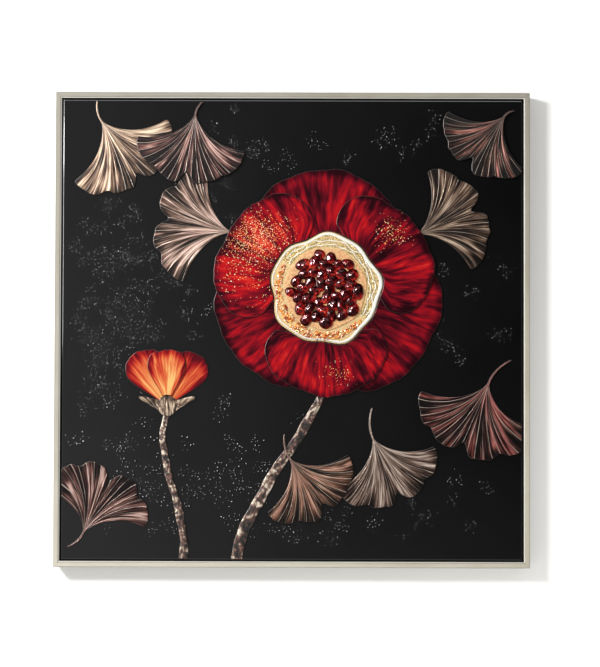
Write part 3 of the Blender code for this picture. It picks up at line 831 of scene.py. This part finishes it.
def edge_fade(tree, u, v, width):
    """0 at the sides and the rim of a piece, rising to 1 at a share of its width inside."""
    side = math_node(tree, "MINIMUM", u, minus(tree, 1.0, u))
    both = math_node(tree, "MINIMUM", side, minus(tree, 1.0, v))
    settings = {"interpolation_type": "SMOOTHSTEP"}
    return add(tree, "ShaderNodeMapRange", {0: both, 2: width}, **settings).outputs[0]


def painted_red(name, seed, lift):
    """Crimson strokes from near black to scarlet, darker towards the edges and the foot."""
    made, tree, shader = material(name, specular_ior_level=0.10)
    streak, blotch, u, v = stroke_nodes(tree, 42.0, 2.4, seed)
    inner = edge_fade(tree, u, v, 0.16)
    heart = remap(tree, v, 0.0, 0.30)
    shade = times(tree, inner, plus(tree, times(tree, heart, 0.55), 0.45))
    tone = contrast(tree, streak, blotch, 1.35, 1.55, lift - 0.30)
    tone = plus(tree, tone, times(tree, shade, 0.36))
    stops = [
        (0.08, (0.014, 0.0016, 0.0034)), (0.32, (0.060, 0.0026, 0.0066)),
        (0.54, (0.17, 0.0036, 0.0090)), (0.78, (0.34, 0.0050, 0.0085)), (1.0, (0.47, 0.024, 0.015)),
    ]
    bare_edge(tree, shader, ramp(tree, tone, stops), rough=0.15)
    emboss(tree, shader, streak, 0.35, 0.0006)
    return made


DISC_WAVES = ((4, 5, 1), (2.5, 9, 0))
disc_edge = waved(116, *DISC_WAVES)
heart_edge = waved(117.2, *DISC_WAVES)
RUFFLE = 3.2 * MM
LOWER_PETALS = ((92, 57, 250, 1.7, -0.11), (212, 56, 238, 3.4, -0.11), (331, 56, 250, 5.1, -0.11))
UPPER_PETALS = ((31, 50, 234, 3.0, -0.06), (151, 51, 240, 5.1, 0.07), (271, 51, 224, 7.2, -0.03))
layers = (
    ("lower", LOWER_PETALS, LOWER_PLATES, "deep_red_lacquer", 0),
    ("upper", UPPER_PETALS, UPPER_PLATES, "red_lacquer", 40),
)
for layer, petals, level, slot, seed in layers:
    for number, (direction, spread, reach, phase, lift) in enumerate(petals, start=1):
        grid = petal_grid(BLOOM, direction, spread, reach * MM, heart_edge, RUFFLE, phase)
        surface = painted_red("red_strokes_%s_%d" % (layer, number), seed + 5.3 * number, lift)
        petal = cut_plate("petal_%s_%d" % (layer, number), grid, level, surface)
        hold(petal, slot, "%s_petal_%d" % (layer, number))


# Bud
# A half-open bud in its calyx: coral petals with an orange one in front, painted from a
# yellow foot to a crimson rim.

def painted_bud(name, seed, warm):
    """Strokes that turn from yellow at the foot through orange to crimson at the edges."""
    made, tree, shader = material(name, specular_ior_level=0.10)
    streak, blotch, u, v = stroke_nodes(tree, 22.0, 2.0, seed)
    inner = edge_fade(tree, u, v, 0.24)
    tone = contrast(tree, streak, blotch, 1.0, 1.1, warm - 0.12)
    tone = plus(tree, tone, times(tree, inner, 0.34))
    tone = minus(tree, tone, times(tree, v, 0.34))
    stops = [
        (0.05, (0.060, 0.0035, 0.0070)), (0.28, (0.23, 0.0070, 0.0090)),
        (0.48, (0.40, 0.040, 0.018)), (0.68, (0.52, 0.14, 0.045)), (0.95, (0.64, 0.36, 0.13)),
    ]
    bare_edge(tree, shader, ramp(tree, tone, stops), rough=0.15)
    emboss(tree, shader, streak, 0.35, 0.0005)
    return made


bud_petals = (
    ("left", 119, 132, 9, 0.6, LOWER_PLATES, "coral_lacquer", 0.04),
    ("right", 61, 128, 9, 2.2, LOWER_PLATES, "coral_lacquer", 0.0),
    ("middle", 91, 122, 25.5, 4.1, UPPER_PLATES, "orange_lacquer", 0.14),
)
for side, direction, reach, foot, phase, level, slot, warm in bud_petals:
    start = np.full(61, foot * MM)
    grid = petal_grid(BUD, direction, 27, reach * MM, lambda angle: start, 1.4 * MM, phase, 61, 61)
    surface = painted_bud("bud_strokes_" + side, phase * 9, warm)
    hold(cut_plate("bud_leaf_" + side, grid, level, surface), slot, "bud_petal_" + side)


def calyx_grid(centre, radius, columns=81, rows=13):
    """A cup with two pointed sepals: from its foot line out to an edge that swells at 20 and
    160 degrees. The rows go from the lower edge to the upper one, so the border is its outline."""
    angle = np.linspace(0, 180, columns)
    sepals = np.exp(-((angle - 20) / 10) ** 2) + np.exp(-((angle - 160) / 10) ** 2)
    turn = np.radians(180 - angle)
    top = around(centre, turn, radius * (1.0 + 1.7 * sepals))
    angle_below = np.radians(180 + angle)
    bottom = around(centre, angle_below, np.full(columns, 0.8 * radius))
    share = eased(rows)[:, None, None]
    return bottom[None] * (1 - share) + top[None] * share, angle / 180, share[:, 0, 0]


surface = ground_metal("ground_metal_calyx", "bronze_foil", 77.0, 0.6)
calyx = cut_plate("calyx_cup", calyx_grid(BUD, 24 * MM), UPPER_PLATES, surface)
hold(calyx, "bronze_foil", "bud_calyx")


# Wavy disc, paste lines and gold grit
# The bloom's heart is a cream plate with a wavy edge. White relief paste is drawn on it in
# wavy lines, broad on the right, and fine gold grit is glued between them.

def disc_plate(name, edge, back, thickness, surface, rows=24):
    """A closed disc about the bloom's middle whose edge follows a radius that depends on the
    angle. Rings run from the back's middle out, up the wall, over the round and in again."""
    angle = np.linspace(0, 2 * np.pi, 240, endpoint=False)[None, :]
    bend = np.linspace(0, np.pi / 2, 6)
    flat = np.linspace(3 * MM, 70 * MM, rows)
    inward = np.r_[[40 * MM], [0.0], EDGE_ROUND * (1 - np.cos(bend)), flat]
    front = np.full(rows, back - thickness)
    y = np.r_[[back], [back], back - thickness + EDGE_ROUND * (1 - np.sin(bend)), front]
    places = around(BLOOM, angle, edge(angle) - inward[:, None])
    return closed_tube(name, places, y[:, None], surface)


stops = [(0.32, (0.42, 0.27, 0.10)), (0.68, (0.62, 0.45, 0.22))]
cream = grained("cream_paste", 420.0, 4.0, stops, (0.6, 0.0006), roughness=0.55)
disc = disc_plate("wavy_disc", disc_edge, LOWER_PLATES, PLATE_THICKNESS, cream)
hold(disc, "cream_paste", "centre_disc")
DISC_FRONT = LOWER_PLATES - PLATE_THICKNESS

stops = [(0.3, (0.52, 0.50, 0.44)), (0.7, (0.74, 0.73, 0.68))]
glaze = {"coat_weight": 0.3, "coat_roughness": 0.2}
paste = grained("white_paste", 700.0, 3.0, stops, (0.7, 0.0006), roughness=0.5, **glaze)


def paste_line(name, first, last, radius_of, width_of, height, steps=420, sides=12):
    """A bead of paste along a curve about the bloom: an ellipse carried round, its width given
    by the angle, sunk by half into the disc, and closed to a point at both ends."""
    angle = np.radians(np.linspace(first, last, steps))[:, None]
    turn = np.linspace(0, 2 * np.pi, sides, endpoint=False)[None, :]
    taper = np.minimum(1, 30 * np.sin(np.linspace(0.0005, np.pi - 0.0005, steps)))[:, None]
    radius = radius_of(angle) + width_of(angle) * taper / 2 * np.cos(turn)
    places = around(BLOOM, np.broadcast_to(angle, radius.shape), radius)
    y = DISC_FRONT - height * taper * np.sin(turn)
    hold(closed_tube(name, places, y, paste, sharp=80), "cream_paste")


outer_line = waved(111.2, *DISC_WAVES)
middle_line = waved(103, (2.4, 11, 0), (1.6, 17, 1))
inner_line = waved(94, (1.2, 13, 2), (0.8, 29, 0))
outer_width = waved(5.2, (2.6, 1, math.pi / 2 - 0.2), (0.5, 31, 0), (0.4, 17, 0))
thin_width = waved(2.3, (0.5, 23, 0))
paste_line("paste_line_outer", -180.0, 179.9, outer_line, outer_width, 1.5 * MM, steps=720)
paste_line("paste_line_middle", -34.0, 142.0, middle_line, thin_width, 1.2 * MM)
paste_line("paste_line_inner", -38.0, 146.0, inner_line, thin_width, 1.1 * MM)


def scatter(name, template, faces, spots, sizes, tilts, turns, fronts, surface, tints, sharp=25):
    """Many small copies of a template, each scaled, tilted, turned and set at its own place; the
    tint of each is kept on its points as an attribute."""
    cos_tilt, sin_tilt = np.cos(tilts)[:, None], np.sin(tilts)[:, None]
    cos_turn, sin_turn = np.cos(turns)[:, None], np.sin(turns)[:, None]
    local = template[None] * sizes[:, None, None]
    x = local[..., 0]
    y = local[..., 1] * cos_tilt - local[..., 2] * sin_tilt
    z = local[..., 1] * sin_tilt + local[..., 2] * cos_tilt
    points = np.stack([
        spots[:, :1] + x * cos_turn - z * sin_turn,
        fronts[:, None] + y,
        spots[:, 1:] + x * sin_turn + z * cos_turn,
    ], axis=-1)
    count, corners = points.shape[:2]
    first = corners * np.arange(count)[:, None]
    every = sum(((np.array(face)[None] + first).tolist() for face in faces), [])
    made = finish_mesh(name, points.reshape(-1, 3), every, surface, sharp=sharp)
    mark_points(made, "tint", np.repeat(tints, corners))
    return made


flake = np.array([
    (1, 0, 0), (0.3, 0, 0.8), (-0.8, 0, 0.5), (-0.7, 0, -0.6), (0.4, 0, -0.8), (0.1, -0.55, 0),
    (0, 0.45, 0),
])
flake_faces = [(k, (k + 1) % 5, 5) for k in range(5)] + [((k + 1) % 5, k, 6) for k in range(5)]


def glittering(name, stops, metallic, roughness):
    """Grains coloured by their tint."""
    plain = {"metallic": metallic, "roughness": roughness}
    made, tree, shader = material(name, coat_weight=0.5, coat_roughness=0.05, **plain)
    feed(tree, shader, base_color=ramp(tree, marked(tree, "tint"), stops))
    return made


GRIT_COUNT = 4200
GRIT_START = 89 * MM
gold_stops = [
    (0.0, (0.12, 0.08, 0.015)), (0.5, (0.34, 0.24, 0.06)), (0.85, (0.62, 0.48, 0.17)),
    (1.0, (0.95, 0.88, 0.62)),
]
gold = glittering("gold_grit", gold_stops, 0.7, 0.25)
chance = np.random.default_rng(21)
angle = np.radians(chance.uniform(-36, 146, GRIT_COUNT))
share = chance.uniform(0, 1, GRIT_COUNT)
radius = GRIT_START + share * (disc_edge(angle) - 7.5 * MM - GRIT_START)
sizes = chance.uniform(0.5, 1.15, GRIT_COUNT) * MM
tilts, turns = chance.uniform(-0.9, 0.9, GRIT_COUNT), chance.uniform(0, 6.28, GRIT_COUNT)
grit = scatter(
    "gold_grit_grains", flake, flake_faces, around(BLOOM, angle, radius), sizes, tilts, turns,
    np.full(GRIT_COUNT, DISC_FRONT - 0.2 * MM), gold, chance.uniform(0, 1, GRIT_COUNT),
)
hold(grit, "cream_paste")


# Garnet chips
# Polished glass nuggets, set close together in the heart in a warm paste. Each is a lump a
# little longer than wide, and their spiral leaves small gaps.

garnet, tree, shader = material(
    "garnet_glass", roughness=0.06, ior=1.5, transmission_weight=0.20, specular_ior_level=0.14,
    specular_tint=(1.0, 0.60, 0.60, 1),
)
place = object_place(tree)
cloud = noise(tree, place, 120.0, 1.5, 1.6)
tone = contrast(tree, cloud, marked(tree, "tint"), 1.9, 0.30, -0.14)
# Painted light: each chip is brighter on one side, mostly its lower right, as a glow of light
# passing through it.
tone = plus(tree, tone, times(tree, marked(tree, "painted_glow"), 0.72))
stops = [
    (0.20, (0.0055, 0.0003, 0.0006)), (0.50, (0.045, 0.0012, 0.0024)),
    (0.74, (0.21, 0.0050, 0.0065)), (1.0, (0.62, 0.050, 0.026)),
]
feed(tree, shader, base_color=ramp(tree, tone, stops))
inputs = {"Vector": place, "Scale": 120.0}
chipped = add(tree, "ShaderNodeTexVoronoi", inputs, feature="SMOOTH_F1").outputs["Distance"]
emboss(tree, shader, chipped, 0.60, 0.0026)

BED_RADIUS = 86 * MM
CHIP_COUNT = 42
CHIP_RINGS = 11
CHIP_SIDES = 18
BED_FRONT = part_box("garnet_chips")[1].y - 2 * MM


def nuggets(centres, sizes, heights, turns, seeds, back):
    """Closed lumps: a superellipsoid, longer in one direction, with slow dents that differ from
    lump to lump. Rows run from the pole at the back to the pole at the front."""
    lift = np.linspace(-np.pi / 2, np.pi / 2, CHIP_RINGS)[None, :, None]
    turn = np.linspace(0, 2 * np.pi, CHIP_SIDES, endpoint=False)[None, None, :]
    seed = seeds[:, None, None]
    dent = 1 + 0.07 * np.sin(2 * turn + seed) + 0.05 * np.sin(3 * turn + 2 * seed + 2 * lift)
    flat = np.cos(lift) ** 0.75 * dent
    x = 0.56 * sizes[:, None, None] * flat * np.cos(turn)
    z = 0.45 * sizes[:, None, None] * flat * np.sin(turn)
    rise = np.sign(np.sin(lift)) * np.abs(np.sin(lift)) ** 0.9
    out = heights[:, None, None] * rise * (1 + 0.06 * np.sin(turn + seed))
    cos, sin = np.cos(turns)[:, None, None], np.sin(turns)[:, None, None]
    points = np.stack([
        centres[:, :1, None] + x * cos - z * sin,
        back - out,
        centres[:, 1:, None] + x * sin + z * cos,
    ], axis=-1)
    one = tube_faces(CHIP_RINGS, CHIP_SIDES)
    firsts = range(0, len(centres) * CHIP_RINGS * CHIP_SIDES, CHIP_RINGS * CHIP_SIDES)
    return points.reshape(-1, 3), [[first + at for at in face] for first in firsts for face in one]


rng = random.Random(11)
chips = []
for k in range(CHIP_COUNT):
    radius = (BED_RADIUS - 11 * MM) * math.sqrt((k + 0.5) / CHIP_COUNT)
    angle = k * math.pi * (3 - math.sqrt(5))
    size, turn = rng.uniform(24, 31) * MM, rng.uniform(0, math.pi)
    height = size * rng.uniform(0.255, 0.328)
    x, z = BLOOM[0] + radius * math.cos(angle), BLOOM[1] + radius * math.sin(angle)
    chips.append((x, z, size, height, turn, k * 1.7))
chips = np.array(chips)
sizes, heights, turns, seeds = chips[:, 2:].T
points, faces = nuggets(chips[:, :2], sizes * 0.98, heights, turns, seeds, BED_FRONT)
glass = finish_mesh("garnet_nuggets", points, faces, garnet, sharp=70)
chance = np.random.default_rng(3)
mark_points(glass, "tint", np.repeat(chance.uniform(0, 1, CHIP_COUNT), CHIP_SIDES * CHIP_RINGS))
# Painted glow: the bright side of each chip leans mostly to the lower right, away from the key
# light.
lean = chance.normal(-0.65, 0.7, CHIP_COUNT)
offset = points.reshape(CHIP_COUNT, -1, 3)[..., [0, 2]] - chips[:, None, :2]
thin = (offset * np.c_[np.cos(lean), np.sin(lean)][:, None]).sum(-1) / (0.5 * sizes[:, None])
mark_points(glass, "painted_glow", (np.clip(thin, 0, 1) ** 1.6).ravel())
hold(glass, "garnet_glass", "garnet_chips")
polished = gathered("polished", [glass])
gloss_light(polished, "chip_light", (-1.25, -2.45, 0.55), (0.56, 0.56), 370)

stops = [(0.32, (0.42, 0.17, 0.06)), (0.68, (0.66, 0.41, 0.18))]
warm = grained("warm_bed", 260.0, 4.0, stops, roughness=0.5)
bed_edge = waved(86, (1.72, 7, 0))
bed = disc_plate("chip_bed", bed_edge, DISC_FRONT - 0.3 * MM, 2 * MM, warm, rows=4)
hold(bed, "cream_paste", "garnet_chips")


# Amber splinters
# A crescent of crushed orange and gold glass beside the chips, each splinter lying its own way.

SHARD_COUNT = 520
shard = np.array([
    (-1, 0.5, -0.5), (1, 0.5, -0.35), (0.8, 0.5, 0.45), (-0.7, 0.5, 0.4),
    (-0.5, -0.5, -0.2), (0.7, -0.35, -0.15), (0.35, -0.45, 0.3), (-0.4, -0.3, 0.25),
])
shard_faces = [(0, 1, 2, 3), (4, 5, 6, 7), (0, 1, 5, 4), (1, 2, 6, 5), (2, 3, 7, 6), (3, 0, 4, 7)]
amber_stops = [
    (0.0, (0.16, 0.012, 0.010)), (0.25, (0.55, 0.08, 0.015)), (0.55, (0.85, 0.30, 0.04)),
    (0.8, (0.90, 0.55, 0.16)), (1.0, (0.95, 0.86, 0.66)),
]
amber = glittering("amber_glass", amber_stops, 0.25, 0.10)
first, last = math.radians(150), math.radians(318)
angle = first + (last - first) * chance.uniform(0, 1, SHARD_COUNT)
half = 9.5 * MM * np.sqrt(np.sin(np.pi * (0.04 + 0.92 * (angle - first) / (last - first))))
radius = BED_RADIUS + 13 * MM + half * chance.uniform(-0.9, 1.0, SHARD_COUNT)
sizes = chance.uniform(1.3, 3.4, SHARD_COUNT) * MM
tilts, turns = chance.uniform(-0.7, 0.7, SHARD_COUNT), chance.uniform(0, 6.28, SHARD_COUNT)
fronts = DISC_FRONT - chance.uniform(0.6, 2.4, SHARD_COUNT) * MM
splinters = scatter(
    "amber_shards", shard, shard_faces, around(BLOOM, angle, radius), sizes, tilts, turns, fronts,
    amber, chance.uniform(0, 1, SHARD_COUNT),
)
hold(splinters, "amber_glass", "amber_splinters")


# Glitter on the petals
# Fine orange, gold and white glass grit, thrown on the wet clear coat of the upper petals
# where they are brightest.

def inside(points, outline):
    """Whether each point lies in an outline, by counting the edges to its right."""
    start, end = outline, np.roll(outline, -1, axis=0)
    px, pz = points[:, :1], points[:, 1:]
    spans = (start[None, :, 1] <= pz) != (end[None, :, 1] <= pz)
    rise = end[:, 1] - start[:, 1]
    rise = np.where(np.abs(rise) < 1e-12, 1e-12, rise)
    run = (end[:, 0] - start[:, 0])[None]
    crossing = start[None, :, 0] + (pz - start[None, :, 1]) * run / rise[None]
    return (spans & (crossing > px)).sum(1) % 2 == 1


def drift(middle, spread, count):
    """Places strewn about a middle, thinning out with a spread in mm across and up."""
    return middle + chance.normal(0, 1, (count, 2)) * np.array(spread) * MM


GLITTER_INSET = 3 * MM
spark_stops = [
    (0.0, (0.60, 0.06, 0.02)), (0.4, (0.85, 0.28, 0.06)), (0.75, (0.95, 0.62, 0.22)),
    (1.0, (1.0, 0.92, 0.75)),
]
spark = glittering("orange_glitter", spark_stops, 0.12, 0.25)
patches = (
    (143, 180, 33, 27, 1150), (160, 168, 46, 40, 600), (40, 185, 20, 14, 200),
    (278, 180, 18, 12, 100),
)
spots = []
for direction, radius, wide, tall, number in patches:
    middle = around(BLOOM, math.radians(direction), radius * MM)
    spots.append(drift(middle, (wide, tall), number))
spots = np.vstack(spots)
keep = np.zeros(len(spots), bool)
for name, outline in outlines.items():
    if name.startswith("petal_upper"):
        keep |= inside(spots, outline) & (distance_to(spots, outline) > GLITTER_INSET)
spots = spots[keep]
count = len(spots)
sizes = chance.uniform(0.4, 1.2, count) * MM
tilts, turns = chance.uniform(-0.8, 0.8, count), chance.uniform(0, 6.28, count)
glitter = scatter(
    "petal_glitter", flake, flake_faces, spots, sizes, tilts, turns,
    np.full(count, UPPER_PLATES - PLATE_THICKNESS - 0.2 * MM), spark, chance.uniform(0, 1, count),
)
hold(glitter, "amber_glass")


# Resin beads
# Drops of black resin in drifts on the lacquer, 2 to 4 mm across and up to 6 mm low on the
# left. Each is a dome of a few faces, set a little into the surface, with its own highlight.

BEAD_SIDES = 8
BEAD_RINGS = ((0.92, -0.15), (1.0, 0.15), (0.72, 0.52), (0.32, 0.72))
BEAD_GAP = 3.5 * MM
BEAD_CLEARANCE = 3.6 * MM
BLOOM_CLEARANCE = 130 * MM
RIM_CLEARANCE = 8 * MM
KNOT_COUNT = 16
KNOT_SPREAD = 8 * MM
turn = np.linspace(0, 2 * np.pi, BEAD_SIDES, endpoint=False)
radius, height = np.array(BEAD_RINGS).T[..., None]
rings = radius * np.cos(turn), -height * np.ones(BEAD_SIDES), radius * np.sin(turn)
dome = np.stack(rings, axis=-1).reshape(-1, 3)
dome_faces = tube_faces(len(BEAD_RINGS), BEAD_SIDES)
drifts = (
    (-340, 110, 75, 95, 66, 1.0), (-395, -60, 50, 90, 48, 1.0), (-330, 0, 50, 60, 24, 1.1),
    (-60, 390, 90, 38, 15, 1.0), (-310, -320, 80, 60, 48, 1.4), (60, -410, 120, 30, 20, 1.35),
    (250, -370, 90, 45, 11, 1.1), (340, 60, 60, 60, 8, 1.1), (230, 400, 70, 30, 8, 1.0),
    (-120, -300, 50, 70, 26, 1.4), (340, -30, 60, 35, 5, 1.1), (-190, 290, 40, 30, 8, 1.0),
)
spots, growth = [], []
for x, z, wide, tall, number, large in drifts:
    knots = drift(np.array([x, z]) * MM, (wide, tall), number)
    strewn = chance.normal(0, 1, (number, KNOT_COUNT, 2)) * KNOT_SPREAD
    spots.append((knots[:, None] + strewn).reshape(-1, 2))
    growth.append(np.full(number * KNOT_COUNT, large))
spots, growth = np.vstack(spots), np.concatenate(growth)
gaps = np.hypot(*(spots[:, None] - spots[None]).transpose(2, 0, 1))
gaps += np.triu(np.ones((len(spots), len(spots))))
keep = gaps.min(axis=1) > BEAD_GAP * growth ** 0.8
keep &= np.abs(spots).max(axis=1) < PANEL_HALF - RIM_CLEARANCE
keep &= np.hypot(spots[:, 0] - BLOOM[0], spots[:, 1] - BLOOM[1]) > BLOOM_CLEARANCE
for outline in outlines.values():
    keep &= ~inside(spots, outline) & (distance_to(spots, outline) > BEAD_CLEARANCE)
spots, growth = spots[keep], growth[keep]
count = len(spots)
bead, tree, shader = material("resin_bead", roughness=0.13, specular_ior_level=0.12)
tint = marked(tree, "tint")
colour = ramp(tree, tint, [(0.80, (0.0015, 0.0015, 0.0018)), (1.0, (0.035, 0.037, 0.042))])
feed(tree, shader, base_color=colour, metallic=remap(tree, tint, 0.88, 0.96, 0.0, 0.15))
sizes = (1.0 + 1.2 * chance.uniform(0, 1, count) ** 2.2) * growth * MM
beads = scatter(
    "resin_beads", dome, dome_faces, spots, sizes, np.zeros(count), chance.uniform(0, 6.28, count),
    np.full(count, PANEL_FRONT), bead, chance.uniform(0, 1, count), sharp=80,
)
hold(beads, "black_lacquer")
gloss_light(gathered("drops", [beads]), "drop_light", key.location, (2.0, 2.0), 2600)
